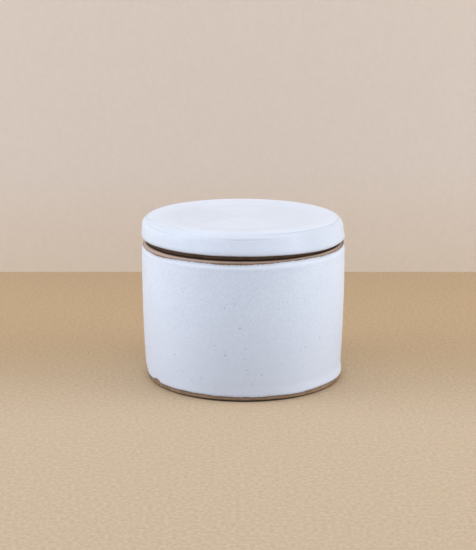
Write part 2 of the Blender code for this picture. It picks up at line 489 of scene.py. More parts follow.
def grain(angle, r, z, seed, length):
    """Soft noise in space, about -1 to 1, whose lumps are about length across."""
    rng = np.random.default_rng(seed)
    x, y = r * np.sin(angle), -r * np.cos(angle)
    total = 0.0
    for _ in range(LUMP_WAVES):
        heading = unit(rng.normal(size=3)) * TAU / (length * rng.uniform(*LUMP_RANGE))
        total = total + np.sin(x * heading[0] + y * heading[1] + z * heading[2] + rng.uniform(0.0, TAU))
    return total / math.sqrt(LUMP_WAVES)


def lumps(angle, r, z, rows):
    """Sum of soft noises, each given as its height, seed and length."""
    return sum(height * grain(angle, r, z, seed, length) for height, seed, length in rows)


def oval(centre, reach, height, start, end, steps=OVAL_STEPS):
    """Points on an upright ellipse about centre, from start to end in degrees from +r to +z."""
    angles = np.radians(np.linspace(start, end, steps + 1))
    return [(centre[0] + reach * math.cos(a), centre[1] + height * math.sin(a)) for a in angles]


def rounded(corners, spacing=SPACING):
    """Points along corners given as (r, z) or (r, z, rounding radius), spacing apart at most."""
    spots = [np.array(corner[:2], float) for corner in corners]
    points = [spots[0]]
    for i, corner in enumerate(corners[1:-1], 1):
        if len(corner) == 2:
            points.append(spots[i])
            continue
        back, onward = unit(spots[i - 1] - spots[i]), unit(spots[i + 1] - spots[i])
        half = math.acos(float(np.clip(back @ onward, -1.0, 1.0))) / 2
        centre = spots[i] + unit(back + onward) * corner[2] / math.sin(half)
        start = spots[i] + back * corner[2] / math.tan(half) - centre
        end = spots[i] + onward * corner[2] / math.tan(half) - centre
        turn = math.atan2(start[0] * end[1] - start[1] * end[0], start @ end)
        steps = max(2, math.ceil(abs(turn) / FILLET_TURN), math.ceil(abs(turn) * corner[2] / spacing))
        for t in np.linspace(0.0, turn, steps + 1):
            c, s = math.cos(t), math.sin(t)
            points.append(centre + (start[0] * c - start[1] * s, start[0] * s + start[1] * c))
    points.append(spots[-1])
    line = [points[0]]
    for a, b in zip(points, points[1:]):
        steps = max(1, math.ceil(np.linalg.norm(b - a) / spacing))
        line += [a + (b - a) * i / steps for i in range(1, steps + 1)]
    return np.array(line)


def lengths(line):
    """Distance along a line at each of its points."""
    return np.concatenate([[0.0], np.cumsum(np.linalg.norm(np.diff(line, axis=0), axis=1))])


def along(line, r, z):
    """Distance along a line of its point that is nearest to (r, z)."""
    return lengths(line)[np.argmin(np.hypot(line[:, 0] - r, line[:, 1] - z))]


def left_normals(line):
    """Unit normals to the left of a line, at each of its points."""
    ahead = np.gradient(line, axis=0)
    ahead /= np.linalg.norm(ahead, axis=1)[:, None]
    return np.stack([-ahead[:, 1], ahead[:, 0]], axis=1)


def upright(x, y, z):
    """The crock stands straight on the axis, apart from its foot, which lies to the right and front.

    The outer part of its rim is a little higher on the right.
    """
    low = ramp(z, *FOOT_SHIFT_HEIGHTS)
    rise = RIM_RISE * ramp(x, *RIM_RISE_ASIDE) * ramp(z, *RIM_RISE_HEIGHTS)
    rise = rise * ramp(np.hypot(x, y), *RIM_RISE_RADII)
    return x + FOOT_SHIFT * low, y - FOOT_FORWARD * low, z + rise


def leaning(x, y, z):
    """The lid lies a little to the left, more so towards its top, which dips to the front and right.

    Its front also leans back a little, and its lip is fuller and hangs lower on the right.
    """
    aside = x / LID_RADIUS
    fuller = LIP_SWELL * bell(z, LIP_SWELL_HEIGHT, LIP_SWELL_WIDTH) * ramp(aside, *LIP_SWELL_ASIDE)
    dip = (LID_TILT * x - LID_NOD * y) * ramp(z, SEAT_HEIGHT, SHOULDER_START)
    back = FRONT_LEAN * ramp(z, LIP_START, CREASE_HEIGHT) * np.clip(-y / LID_RADIUS, 0.0, 1.0) ** 4
    hung = LIP_DROP * ramp(aside, *LIP_DROP_ASIDE) * ramp(z, *LIP_DROP_HEIGHTS)
    hung = hung * ramp(np.hypot(x, y), *LIP_DROP_RADII)
    return x + fuller - LID_OFFSET - LID_LEAN * (z - LIP_START), y + back, z - dip - hung


def turned(name, r, z, marks=None, stance=upright):
    """A closed mesh from rows of section points, one row for each angle, with point attributes.

    stance(x, y, z) moves the points.
    """
    columns = r.shape[1]
    first_pole = bool(np.all(r[:, 0] < ON_AXIS))
    last_pole = bool(np.all(r[:, -1] < ON_AXIS))
    index = np.arange(SEGMENTS)[:, None] * columns + np.arange(columns)[None, :]
    if first_pole:
        index[:, 0] = 0
    if last_pole:
        index[:, -1] = columns - 1
    angle = ANGLES[:, None]
    places = np.stack(stance(r * np.sin(angle), -r * np.cos(angle), z), axis=-1).reshape(-1, 3) * MM
    faces = []
    joined = range(columns - 1) if first_pole else range(columns)
    for j in joined:
        k = (j + 1) % columns
        a, b = index[:, j], index[:, k]
        c, d = np.roll(b, -1), np.roll(a, -1)
        if first_pole and j == 0:
            faces += np.stack([a, b, c], axis=1).tolist()
        elif last_pole and k == columns - 1:
            faces += np.stack([a, b, d], axis=1).tolist()
        else:
            faces += np.stack([a, b, c, d], axis=1).tolist()
    mesh = bpy.data.meshes.new(name)
    mesh.from_pydata(places.tolist(), [], faces)
    for mark, values in (marks or {}).items():
        attribute = mesh.attributes.new(mark, "FLOAT", "POINT")
        values = np.broadcast_to(values, r.shape).astype(np.float32)
        attribute.data.foreach_set("value", values.ravel())
    tidy = bmesh.new()
    tidy.from_mesh(mesh)
    bmesh.ops.delete(tidy, geom=[v for v in tidy.verts if not v.link_faces], context="VERTS")
    bmesh.ops.recalc_face_normals(tidy, faces=tidy.faces)
    tidy.to_mesh(mesh)
    tidy.free()
    mesh.shade_smooth()
    piece = bpy.data.objects.new(name, mesh)
    bpy.context.scene.collection.objects.link(piece)
    return piece


def clay_piece(name, section, rough, stance=upright):
    """Clay turned from a section that the axis closes; rough(angle, r, z) is added to its radius."""
    angle = ANGLES[:, None]
    r = np.broadcast_to(section[:, 0], (SEGMENTS, len(section)))
    z = np.broadcast_to(section[:, 1], (SEGMENTS, len(section)))
    return turned(name, r + rough(angle, r, z) * (r > ON_AXIS), z, stance=stance)


def spaced(start, end, fine):
    """Stations from start to end, close together within the spans of fine."""
    stations = [start]
    while stations[-1] < end:
        close = any(low <= stations[-1] <= high for low, high in fine)
        stations.append(stations[-1] + (FINE_SPACING if close else SPACING))
    return start + (np.array(stations) - start) * (end - start) / (stations[-1] - start)


def edge_bulge(away, width):
    """How full a coat is at a distance from its edge, which is round over the width."""
    return np.sqrt(np.clip(1.0 - (1.0 - np.minimum(away / width, 1.0)) ** 2, 0.0, 1.0))


def coat_piece(name, line, side, start, end, relief, start_width=1.0, end_width=1.0, fine=(),
               lines=None, stance=upright):
    """A glaze coat on one side of a clay line, between edges that may wander with the angle.

    start is None where the line begins on the axis. relief(angle, r, z) is added to the coat's
    thickness, which falls to nothing over the last start_width or end_width before an edge.
    fine holds spans along the line that need a close mesh, and lines(angle, r, z) is the painted shade
    of the coat's glaze, up to 1.
    """
    length = lengths(line)
    normal = left_normals(line) * side
    first = np.zeros(SEGMENTS) if start is None else start
    rounding = 1.0 - np.cos(np.linspace(0.0, math.pi / 2, EDGE_STEPS + 1))
    total = float(np.mean(end - first))
    inner_start = 0.0 if start is None else start_width
    near = float(np.mean(first))
    stations = spaced(inner_start, total - end_width, [(low - near, high - near) for low, high in fine])
    if start is not None:
        stations = np.concatenate([rounding[:-1] * start_width, stations])
    stations = np.concatenate([stations, total - (rounding[:-1] * end_width)[::-1]])
    at = first[:, None] + stations[None, :] / total * (end - first)[:, None]
    r, z = np.interp(at, length, line[:, 0]), np.interp(at, length, line[:, 1])
    nr, nz = np.interp(at, length, normal[:, 0]), np.interp(at, length, normal[:, 1])
    from_edge = end[:, None] - at
    bulge = edge_bulge(from_edge, end_width)
    if start is not None:
        from_start = at - first[:, None]
        bulge *= edge_bulge(from_start, start_width)
        from_edge = np.minimum(from_edge, from_start)
    thick = SKIN + (COAT + relief(ANGLES[:, None], r, z)) * bulge
    pole = r < ON_AXIS
    face_r, face_z = np.where(pole, 0.0, r + nr * thick), z + nz * thick
    back_r, back_z = np.where(pole, 0.0, r + nr * SKIN), z + nz * SKIN
    back = slice(-2, None if start is None else 0, -1)
    rows_r = np.concatenate([face_r, back_r[:, back]], axis=1)
    rows_z = np.concatenate([face_z, back_z[:, back]], axis=1)
    # The painted shade of the glaze, carried to its material as an attribute
    painted_shade = lines(ANGLES[:, None], r, z) if lines else np.zeros_like(r)
    marks = {"from_edge": from_edge, "painted_shade": painted_shade}
    marks = {mark: np.concatenate([value, value[:, back]], axis=1) for mark, value in marks.items()}
    return turned(name, rows_r, rows_z, marks, stance)


def throwing(angle, r, z):
    """Height of the faint rings and swellings that throwing and dipping leave on a wall."""
    drift = THROWING_DRIFT * np.sin(angle + THROWING_TURN)
    rings = 0.0
    for height, spacing, share in THROWING_RINGS:
        rings = rings + height * np.sin(TAU * z / spacing + share * drift)
    return rings + lumps(angle, r, z, THROWING_LUMPS)


def crock_relief(angle, r, z):
    """Throwing rings, the rolls of thick glaze above the foot and below the rim, and a dent."""
    sideways = np.sin(angle)
    low = FOOT_ROLL * bell(z, FOOT_ROLL_HEIGHT, FOOT_ROLL_WIDTH)
    low = low * (1.0 - FOOT_ROLL_FADE * ramp(sideways, *FOOT_ROLL_ASIDE))
    high = RIM_ROLL * bell(z, RIM_ROLL_HEIGHT, RIM_ROLL_WIDTH)
    high = high * (1.0 - RIM_ROLL_FADE * ramp(np.abs(sideways), *RIM_ROLL_ASIDE))
    dent = azimuth_bells(angle, DENT) * bell(z, DENT_HEIGHT, DENT_WIDTH)
    return throwing(angle, r, z) + low + high - dent


def crock_wall(z):
    """Radius of the crock's clay wall, without its bare neck."""
    return SIDE_RADIUS - FOOT_TAPER * ((z - BELLY_HEIGHT) / BELLY_HEIGHT) ** 2


def crock_outside():
    """Outside of the crock's clay, from the foot's bevel up to its rim."""
    wall = [(crock_wall(z), z) for z in np.linspace(FOOT_BEVEL, RIM_NECK, OUTSIDE_WALL_POINTS)]
    return wall + [(RIM_RADIUS, NECK_TOP, NECK_ROUND)]


def crock_inside():
    """Inside of the crock's clay, from the mouth down to the middle of the floor."""
    heights = np.linspace(RIM_HEIGHT - MOUTH_DEPTH, FLOOR_HEIGHT + FLOOR_FILLET, INSIDE_WALL_POINTS)
    wall = [(crock_wall(z) - CROCK_WALL, z) for z in heights]
    corner = (wall[-1][0], FLOOR_HEIGHT, FLOOR_ROUND)
    return wall + [corner, (0.0, FLOOR_HEIGHT)]


def crock_line():
    """Whole section of the crock's clay, from the middle of its underside round to its floor."""
    foot = crock_wall(FOOT_BEVEL)
    ring = foot - FOOT_RING
    recess = [(0.0, FOOT_RECESS), (ring - FOOT_RECESS, FOOT_RECESS, RECESS_ROUND)]
    under = recess + [(ring, 0.0, RING_ROUND), (foot - FOOT_BEVEL, 0.0, BEVEL_ROUND)]
    mouth = crock_wall(RIM_HEIGHT) - CROCK_WALL
    rim = [(RIM_RADIUS, RIM_HEIGHT, RIM_ROUND), (mouth, RIM_HEIGHT, MOUTH_ROUND)]
    return rounded(under + crock_outside() + rim + crock_inside())


def lid_line():
    """Whole section of the lid's clay, from the middle of its top round to its underside."""
    top = LID_TOP - COAT - RELIEF_ROOM
    dish = [(0.0, top - DISH_DEPTH), (DISH_RADIUS, top - DISH_DEPTH, DISH_ROUND)]
    bank = [(DISH_BANK, top - BANK_DROP, BANK_ROUND)]
    reach = LID_RADIUS - LID_TAPER - CREST_RADIUS
    shoulder = oval((CREST_RADIUS, SHOULDER_START), reach, top - SHOULDER_START, 90.0, 0.0)
    lip = oval((LID_RADIUS - LIP_REACH, LIP_START), LIP_REACH, LIP_TURN, 0.0, -90.0)
    inner = STEP_RADIUS - STEP_WALL
    seat = [(NECK_RADIUS, SEAT_HEIGHT, SEAT_ROUND), (STEP_RADIUS, SEAT_HEIGHT, STEP_TOP_ROUND)]
    step = [(STEP_RADIUS, STEP_BOTTOM, STEP_ROUND), (inner, STEP_BOTTOM, STEP_ROUND)]
    hollow = [(inner, CEILING_HEIGHT, CEILING_ROUND), (0.0, CEILING_HEIGHT)]
    return rounded(dish + bank + shoulder + lip + seat + step + hollow)


def cup_inside_and_mouth():
    """The cup's clay from the middle of its inside out, down and round its mouth."""
    joined = CUP_RADIUS - CUP_FLARE
    edge = CUP_WALL / 2
    inside = [(0.0, CUP_TOP), (joined - CUP_WALL, CUP_TOP, CUP_FILLET)]
    mouth = oval((CUP_RADIUS - edge, CUP_MOUTH + edge), edge, edge, -180.0, 0.0)
    return inside + mouth


def cup_line():
    """Whole section of the cup's clay, up to where it is joined to the lid."""
    joined = CUP_RADIUS - CUP_FLARE
    top = CEILING_HEIGHT - JOIN_GAP
    return rounded(cup_inside_and_mouth() + [(joined, top), (0.0, top)])


def underside_line():
    """The glazed underside: the cup, the joint with its fillet, and the hollow round it."""
    joined = CUP_RADIUS - CUP_FLARE
    inner = STEP_RADIUS - STEP_WALL
    joint = [(joined, CEILING_HEIGHT, JOINT_FILLET), (inner, CEILING_HEIGHT, HOLLOW_FILLET)]
    return rounded(cup_inside_and_mouth() + joint + [(inner, STEP_BOTTOM)])


def node(tree, kind, inputs=None, **settings):
    """A shader node with its settings, and inputs that are values or other nodes' outputs."""
    made = tree.nodes.new(kind)
    for key, value in settings.items():
        setattr(made, key, value)
    for key, value in (inputs or {}).items():
        if isinstance(value, bpy.types.NodeSocket):
            tree.links.new(value, made.inputs[key])
        else:
            made.inputs[key].default_value = value
    return made


def new_material(name):
    """An empty node material, its tree and its Principled shader."""
    made = bpy.data.materials.new(name)
    made.use_nodes = True
    return made, made.node_tree, made.node_tree.nodes["Principled BSDF"]


def mixed(tree, factor, first, second):
    """Colour that goes from first to second with the factor."""
    inputs = {0: factor, 6: first, 7: second}
    return node(tree, "ShaderNodeMix", inputs, data_type="RGBA").outputs[2]


def mapped(tree, value, start, end, low=0.0, high=1.0):
    """The value taken smoothly from the range start to end to the range low to high."""
    inputs = {0: value, 1: start, 2: end, 3: low, 4: high}
    return node(tree, "ShaderNodeMapRange", inputs, interpolation_type="SMOOTHSTEP").outputs[0]


def spanned(tree, value, span, low=0.0, high=1.0):
    """The same for a value in metres and a range in millimetres."""
    return mapped(tree, value, span[0] * MM, span[1] * MM, low, high)


def reckoned(tree, operation, first, second):
    """Result of an operation on two values."""
    return node(tree, "ShaderNodeMath", {0: first, 1: second}, operation=operation).outputs[0]


def plus(tree, first, second):
    """Sum of two values."""
    return reckoned(tree, "ADD", first, second)


def times(tree, first, second):
    """Product of two values."""
    return reckoned(tree, "MULTIPLY", first, second)


def noise(tree, place, scale, detail, roughness):
    """Noise value at a place, whose lumps are about one over scale metres across."""
    inputs = {"Vector": place, "Scale": scale, "Detail": detail, "Roughness": roughness}
    return node(tree, "ShaderNodeTexNoise", inputs).outputs[0]


def coordinates(tree, place):
    """The three coordinates of a place, and its distance to the side of the middle."""
    split = node(tree, "ShaderNodeSeparateXYZ", {0: place}).outputs
    aside = node(tree, "ShaderNodeMath", {0: split[X]}, operation="ABSOLUTE").outputs[0]
    return split, aside


def bumpy(tree, shader, height, strength):
    """Gives a shader the fine bump of a height."""
    inputs = {"Height": height, "Strength": strength, "Distance": BUMP_DEPTH * MM}
    bump = node(tree, "ShaderNodeBump", inputs)
    tree.links.new(bump.outputs["Normal"], shader.inputs["Normal"])


def scattered_specks(tree, place, kind, share=1.0):
    """A share of a kind of specks: one in each cell, of any size up to the kind's radius."""
    spacing, radius, strength = kind
    cells = node(tree, "ShaderNodeTexVoronoi", {"Vector": place, "Scale": 1.0 / (spacing * MM)})
    split = node(tree, "ShaderNodeSeparateColor", {0: cells.outputs["Color"]})
    reach = mapped(tree, split.outputs[0], *SPECKED_CELLS, 0.0, radius / spacing)
    gap = reckoned(tree, "SUBTRACT", reach, cells.outputs["Distance"])
    return times(tree, mapped(tree, gap, *SPECK_SOFTNESS), strength * share)


def placed_specks(tree, place, specks, strength):
    """Specks on the front of the crock, each of them darkest in its middle."""
    total = 0.0
    for azimuth, height, radius in specks:
        angle = math.radians(azimuth)
        r = crock_wall(height) + COAT
        spot = (r * math.sin(angle) * MM, -r * math.cos(angle) * MM, height * MM)
        offset = node(tree, "ShaderNodeVectorMath", {0: place, 1: spot}, operation="DISTANCE")
        away = offset.outputs["Value"]
        total = plus(tree, mapped(tree, away, radius * MM, 0.0), total)
    return times(tree, total, strength)


def shade(colour, factor=1.0):
    """A colour made lighter or darker, with full alpha."""
    return tuple(c * factor for c in colour) + (1.0,)


def glaze_white(tree, place, painted_lightness, speckling):
    """The colour of thick glaze, faintly clouded and mottled."""
    cloud = mapped(tree, noise(tree, place, *CLOUD_NOISE), *MOST_OF_NOISE)
    # A painted_lightness above 1, as on the lid, is painted light
    white = mixed(tree, cloud, *[shade(GLAZE_COLOUR, tone * painted_lightness) for tone in CLOUD_TONES])
    mottle = mapped(tree, noise(tree, place, *MOTTLE_NOISE), *MOTTLE_RANGE)
    mottle = times(tree, mottle, MOTTLE_STRENGTH * speckling)
    white = mixed(tree, mottle, white, shade(GLAZE_COLOUR, MOTTLE_TONE))
    mist = mapped(tree, noise(tree, place, *MIST_NOISE), *MIDDLE_OF_NOISE)
    mist = times(tree, mist, MIST_STRENGTH * speckling)
    return mixed(tree, mist, white, shade(GLAZE_COLOUR, MOTTLE_TONE))


def crock_tones(tree, height, aside, white):
    """The white with a painted highlight on the roll of thick glaze below the rim, and painted shade
    above the front of the foot.
    """
    # A painted highlight on the roll of thick glaze below the rim
    roll = spanned(tree, aside, ROLL_HIGHLIGHT_ASIDE, *ROLL_HIGHLIGHT_STRENGTHS)
    roll = times(tree, spanned(tree, height, ROLL_HIGHLIGHT_HEIGHTS), roll)
    white = mixed(tree, roll, white, shade(GLAZE_COLOUR, ROLL_HIGHLIGHT_TONE))
    # Painted shade above the front of the foot
    front = spanned(tree, aside, FOOT_SHADE_ASIDE, 0.0, FOOT_SHADE_STRENGTH)
    foot_shade = times(tree, spanned(tree, height, FOOT_SHADE_HEIGHTS), front)
    return mixed(tree, foot_shade, white, shade(THIN_GLAZE_AND_SHADE_COLOUR))


def iron_specks(tree, place, speckling, on_crock):
    """How much iron shows, in scattered specks and, on the crock, in those that stand out."""
    iron = scattered_specks(tree, place, GLAZE_SPECKS, speckling)
    iron = plus(tree, iron, scattered_specks(tree, place, GLAZE_DUST, speckling))
    if on_crock:
        strong = placed_specks(tree, place, SPECKS, SPECK_STRENGTH)
        soft = placed_specks(tree, place, SOFT_SPECKS, SOFT_SPECK_STRENGTH)
        iron = plus(tree, iron, plus(tree, strong, soft))
    return reckoned(tree, "MINIMUM", iron, MOST_IRON)


def glaze_edges(tree, place, height, glaze):
    """The glaze with a brown wash near its edge, and the dark line of the edge itself, where thin glaze
    breaks dark; low down the line is wider, as a painted shadow under the coat's edge.
    """
    edge = node(tree, "ShaderNodeAttribute", attribute_name="from_edge").outputs["Fac"]
    fray = mapped(tree, noise(tree, place, *FRAY_NOISE), *MOST_OF_NOISE, -EDGE_FRAY, EDGE_FRAY)
    frayed = plus(tree, edge, fray)
    washed = times(tree, mapped(tree, frayed, *WASH_SPAN), WASH_STRENGTH)
    glaze = mixed(tree, washed, glaze, shade(THIN_GLAZE_AND_SHADE_COLOUR))
    # Painted shadow: low down the dark edge is wider
    low = times(tree, spanned(tree, height, LOW_EDGE_SHADOW_HEIGHTS), LOW_EDGE_SHADOW_SHIFT)
    near_edge = reckoned(tree, "SUBTRACT", frayed, low)
    return mixed(tree, mapped(tree, near_edge, *EDGE_SPAN), glaze, shade(GLAZE_EDGE_COLOUR))


def glaze_material(name, painted_lightness=1.0, speckling=1.0, on_crock=False):
    """White satin glaze: brown where it thins to its edge, faintly clouded, with specks of iron.

    speckling scales its mottling and its scattered specks, and painted_lightness lifts its white as
    painted light. It is darker and greyer towards the bottom, as painted shade, and takes the painted
    shade that its coat carries. On the outside of the crock, it also has a painted highlight below the
    rim, painted shade above the front of the foot, and the crock's own specks.
    """
    made, tree, shader = new_material(name)
    place = node(tree, "ShaderNodeTexCoord").outputs["Object"]
    split, aside = coordinates(tree, place)
    height = split[Z]
    white = glaze_white(tree, place, painted_lightness, speckling)
    # Painted shade: the glaze turns darker and greyer towards the bottom
    low_shade = spanned(tree, height, LOW_SHADE_HEIGHTS, 0.0, LOW_SHADE_STRENGTH)
    white = mixed(tree, low_shade, white, shade(LOW_SHADED_GLAZE_COLOUR))
    # Painted shade that the coat carries: on the lid, in its lines, dish, shoulder and sides
    painted_shade = node(tree, "ShaderNodeAttribute", attribute_name="painted_shade").outputs["Fac"]
    white = mixed(tree, painted_shade, white, shade(GLAZE_COLOUR, PAINTED_SHADE_TONE))
    if on_crock:
        white = crock_tones(tree, height, aside, white)
    iron = iron_specks(tree, place, speckling, on_crock)
    speckled = mixed(tree, iron, white, shade(IRON_COLOUR))
    coloured = glaze_edges(tree, place, height, speckled)
    tree.links.new(coloured, shader.inputs["Base Color"])
    sheen = mapped(tree, noise(tree, place, *SHEEN_NOISE), *MOST_OF_NOISE, *GLAZE_ROUGHNESS)
    tree.links.new(sheen, shader.inputs["Roughness"])
    shader.inputs["Coat Weight"].default_value = GLOSS_WEIGHT
    shader.inputs["Coat Roughness"].default_value = GLOSS_ROUGHNESS
    bumpy(tree, shader, noise(tree, place, *PEEL_NOISE), PEEL_STRENGTH)
    return made


def rim_tones(tree, place, tone):
    """The clay's tone with the crock's painted light and shade, and a haze of glaze on its rim.

    It is lighter on the open part of the rim, partly a haze of glaze and partly a painted highlight
    that is strongest on the left. It has painted shade in the crevice under the lid and a painted
    contact shadow round the edge that the crock stands on.
    """
    split, aside = coordinates(tree, place)
    height = split[Z]
    flat = node(tree, "ShaderNodeCombineXYZ", {0: split[X], 1: split[Y]}).outputs[0]
    radius = node(tree, "ShaderNodeVectorMath", {0: flat}, operation="LENGTH").outputs["Value"]
    # A painted highlight on the open part of the rim, with a haze of glaze, strongest on the left
    lifted = plus(tree, height, spanned(tree, aside, RIM_HAZE_AND_LIGHT_ASIDE, 0.0, RIM_HAZE_AND_LIGHT_LIFT * MM))
    rim_haze_and_light = spanned(tree, lifted, (CROCK_GLAZE_TOP, CROCK_GLAZE_TOP + RIM_HAZE_AND_LIGHT_HEIGHT))
    across = spanned(tree, split[X], RIM_HAZE_AND_LIGHT_ACROSS, *RIM_HAZE_AND_LIGHT_STRENGTHS)
    tone = mixed(tree, times(tree, rim_haze_and_light, across), tone, shade(RIM_HAZE_AND_LIGHT_COLOUR))
    # Painted shade in the crevice under the lid
    top = spanned(tree, height, [RIM_HEIGHT - depth for depth in RIM_TOP_DEPTHS])
    inward = spanned(tree, aside, CREVICE_ASIDE, 0.0, CREVICE_INWARD * MM)
    open_radius = plus(tree, radius, inward)
    crevice = spanned(tree, open_radius, [RIM_RADIUS - depth for depth in CREVICE_DEPTHS])
    tone = mixed(tree, times(tree, crevice, top), tone, shade(SHADED_CLAY_COLOUR))
    # A painted contact shadow round the edge that the crock stands on, taller at the front
    contact_height = plus(tree, height, spanned(tree, aside, CONTACT_SHADE_ASIDE, *[lift * MM for lift in CONTACT_SHADE_LIFTS]))
    contact_shade = times(tree, spanned(tree, contact_height, CONTACT_SHADE_HEIGHTS), CONTACT_SHADE_STRENGTH)
    return mixed(tree, contact_shade, tone, shade(SHADED_CLAY_COLOUR, CONTACT_SHADE_TONE))


def clay_material(name, colour, rim=False):
    """Bare stoneware: browns in patches, fine grit and a few dark grains, quite matt.

    With rim, it has the crock's painted highlight and haze of glaze on the rim, and painted shade in
    the crevice and round the foot.
    """
    made, tree, shader = new_material(name)
    place = node(tree, "ShaderNodeTexCoord").outputs["Object"]
    patches = mapped(tree, noise(tree, place, *PATCH_NOISE), *MIDDLE_OF_NOISE)
    tone = mixed(tree, patches, *[shade(colour, factor) for factor in PATCH_TONES])
    if rim:
        tone = rim_tones(tree, place, tone)
    grit_marks = mapped(tree, noise(tree, place, *GRIT_NOISE), *GRIT_RANGE)
    tone = mixed(tree, times(tree, grit_marks, GRIT_STRENGTH), tone, shade(colour, GRIT_TONE))
    tone = mixed(tree, scattered_specks(tree, place, CLAY_GRAINS), tone, shade(colour, GRAIN_TONE))
    tree.links.new(tone, shader.inputs["Base Color"])
    sheen = mapped(tree, patches, 0.0, 1.0, *CLAY_ROUGHNESS)
    tree.links.new(sheen, shader.inputs["Roughness"])
    bumpy(tree, shader, noise(tree, place, *ROUGH_NOISE), ROUGH_STRENGTH)
    return made


def fitted(piece, body, slot, material, *nodes):
    """Gives a piece its material, and puts it on its body in place of its nodes; slot is not used."""
    piece.data.materials.append(material)
    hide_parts(*nodes)
    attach(piece, body)


def grit(angle, r, z):
    """Fine unevenness of bare clay, which dies away under the lid's glaze."""
    return lumps(angle, r, z, GRIT_LUMPS) * ramp(z, *GRIT_HEIGHTS)


def make_crock():
    """The crock's clay and its two coats."""
    line = crock_line()
    clay = clay_material("crock_stoneware", CLAY_COLOUR, rim=True)
    fitted(clay_piece("crock_clay", line, grit), "crock", "bare_stoneware", clay, "crock")

    start = [(crock_wall(OUTSIDE_START), OUTSIDE_START)]
    neck = crock_outside()[1:] + [(RIM_RADIUS, RIM_HEIGHT)]
    outside = rounded(start + neck, OUTSIDE_SPACING)
    brim = along(outside, RIM_RADIUS, CROCK_GLAZE_TOP)
    top = brim + wander(ANGLES, *RIM_WANDER) + RIM_TILT * np.sin(ANGLES)
    top = top - azimuth_bells(ANGLES, RIM_DIPS) + azimuth_bells(ANGLES, RIM_CLIMBS)
    notch = azimuth_bells(ANGLES, NOTCH) * ramp(azimuths(ANGLES), *NOTCH_CLIFF)
    foot = along(outside, crock_wall(CROCK_GLAZE_FOOT), CROCK_GLAZE_FOOT)
    foot = foot + wander(ANGLES, *FOOT_WANDER) + azimuth_bells(ANGLES, FOOT_RISES) + notch
    fine = [FOOT_FINE_SPAN, (brim + RIM_FINE_SPAN[0], brim + RIM_FINE_SPAN[1])]
    coat = coat_piece("crock_outer_coat", outside, -1, foot, top, crock_relief,
                      FOOT_EDGE_WIDTH, RIM_EDGE_WIDTH, fine)
    glaze = glaze_material("crock_glaze", on_crock=True)
    fitted(coat, "crock", "white_glaze", glaze, "crock_outer_glaze")

    inside = rounded(crock_inside()[::-1], INSIDE_SPACING)
    edge = along(inside, crock_wall(INNER_GLAZE_TOP) - CROCK_WALL, INNER_GLAZE_TOP)
    edge = edge + wander(ANGLES, *INNER_WANDER) - INNER_GLAZE_DROP
    coat = coat_piece("crock_inner_coat", inside, 1, None, edge, throwing)
    fitted(coat, "crock", "white_glaze", glaze_material("inside_glaze"), "crock_inner_glaze")


def crease(angle, z):
    """The crease below the lid's shoulder: 1 in its middle. It rises and fades on both sides."""
    height = CREASE_HEIGHT + azimuth_bells(angle, CREASE_RISES)
    return bell(z, height, CREASE_WIDTH) * azimuth_bells(angle, CREASE_REACHES)


def disc_edge(angle, r, z):
    """The line round the edge of the disc that the lid's top was trimmed to: 1 in its middle."""
    place = DISC_RADIUS - azimuth_bells(angle, DISC_NARROWINGS)
    facing = ramp(np.cos(angle - math.radians(DISC_AZIMUTH)), *DISC_ASIDE)
    reach = DISC_LEAST_REACH + DISC_MORE_REACH * facing + azimuth_bells(angle, DISC_REACHES)
    reach = reach * (1.0 - azimuth_bells(angle, DISC_GAPS))
    return bell(r, place, DISC_WIDTH) * ramp(z, *DISC_HEIGHTS) * reach


def lid_relief(angle, r, z):
    """Lines, a ridge and a cut that trimming left on the lid, and faint rings on its dish."""
    outer = ramp(r, *TRIMMED_RADII)
    above = np.clip(z - CREASE_HEIGHT, 0.0, None)
    cut = CUT_DEPTH * (1.0 - np.exp(-above / CUT_RUN)) * ramp(z, *CUT_HEIGHTS)
    cut = cut * azimuth_bell(angle, 0.0, CUT_WIDTH)
    ridge = azimuth_bells(angle, RIDGE) * bell(z, RIDGE_HEIGHT, RIDGE_WIDTH)
    lines = CREASE_DEPTH * crease(angle, z) + DISC_DEPTH * disc_edge(angle, r, z)
    rings = DISH_RINGS * np.sin(TAU * r / DISH_RING_SPACING) * ramp(r, *DISH_RING_RADII)
    return (ridge - lines - cut) * outer + rings * (1.0 - outer) + lumps(angle, r, z, LID_LUMPS)


def lid_painted_shade(angle, r, z):
    """Painted shade on the lid's glaze: in its trimming lines, its dish, on its shoulder and at its
    sides.
    """
    front = azimuth_bell(angle, 0.0, DISH_SHADE_FRONT_WIDTH)
    dish = DISH_SHADE * (1.0 - ramp(r, *DISH_SHADE_RADII) * (1.0 - front)) * ramp(z, *DISH_SHADE_HEIGHTS)
    shoulder = SHOULDER_SHADE * ramp(r, *SHOULDER_SHADE_RADII) * ramp(z, *SHOULDER_SHADE_HEIGHTS)
    shoulder = shoulder * (1.0 - azimuth_bells(angle, SHOULDER_SHADE_GAPS))
    side = azimuth_bells(angle, FRONT_SHADE) * ramp(z, *FRONT_SHADE_HEIGHTS)
    for strength, way, across, heights in SIDE_SHADES:
        side = side + strength * ramp(way * np.sin(angle), *across) * ramp(z, *heights)
    lines = CREASE_SHADE * crease(angle, z) + DISC_SHADE * disc_edge(angle, r, z)
    return np.clip(lines + dish + shoulder + side, 0.0, 1.0)


